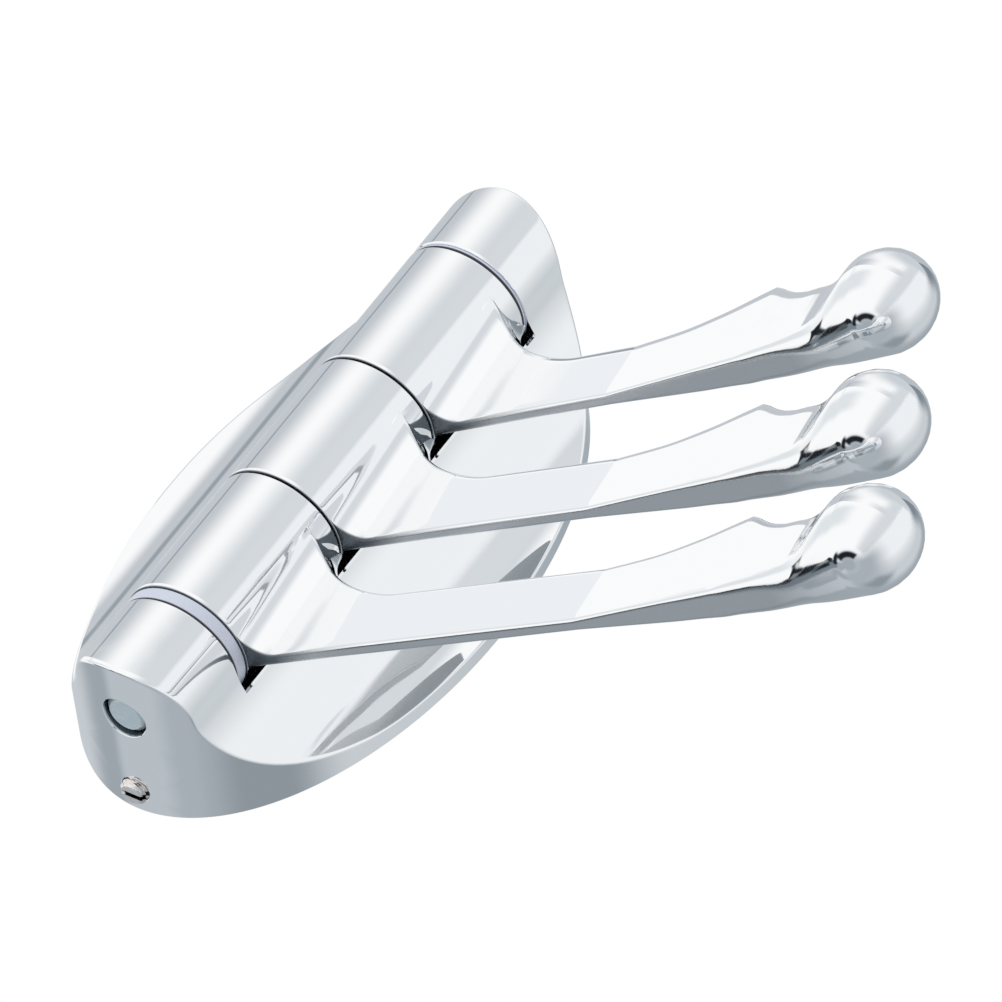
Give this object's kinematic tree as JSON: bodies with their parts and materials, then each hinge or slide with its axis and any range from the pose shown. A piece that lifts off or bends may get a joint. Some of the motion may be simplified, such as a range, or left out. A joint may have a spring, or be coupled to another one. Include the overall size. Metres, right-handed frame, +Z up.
{
  "type": "wall mounted swivel arm clothes hook",
  "caption": "Oval chromed wall base whose upright barrel carries swivelling hook arms of stepped length, each with a hanger seat and a ball end.",
  "frame": {"origin": "centre of the back face, on the wall, midway up the oval base", "axes": "+Z up along the hinge axis, +Y out of the back into the wall, so the front faces -Y, +X to the right of someone facing the wall"},
  "size_m": [0.1355, 0.0866, 0.097],
  "materials": {
    "polished_chrome": "polished zinc casting, bright chrome plated",
    "bright_steel": "bright turned steel with a thin zinc coat",
    "plated_steel": "zinc plated steel, as stamped or as cut",
    "nylon": "moulded natural nylon, satin"
  },
  "bodies": {
    "base": {"base_casting": "polished_chrome", "wall_bracket": "plated_steel", "set_screw": "plated_steel", "hinge_pin": "bright_steel", "lower_nylon_washer": "nylon", "upper_nylon_washer": "nylon", "lower_spacer": "nylon", "upper_spacer": "nylon"},
    "lower_swing_arm": {"lower_arm": "polished_chrome"},
    "middle_swing_arm": {"middle_arm": "polished_chrome"},
    "upper_swing_arm": {"upper_arm": "polished_chrome"}
  },
  "joints": [
    {"name": "lower_swing", "type": "hinge", "parent": "base", "child": "lower_swing_arm", "pos_m": [0, -0.0175, 0], "axis": [0, 0, -1], "range_deg": [-10, 145]},
    {"name": "middle_swing", "type": "hinge", "parent": "base", "child": "middle_swing_arm", "pos_m": [0, -0.0175, 0], "axis": [0, 0, -1], "range_deg": [-10, 145]},
    {"name": "upper_swing", "type": "hinge", "parent": "base", "child": "upper_swing_arm", "pos_m": [0, -0.0175, 0], "axis": [0, 0, -1], "range_deg": [-10, 145]}
  ]
}
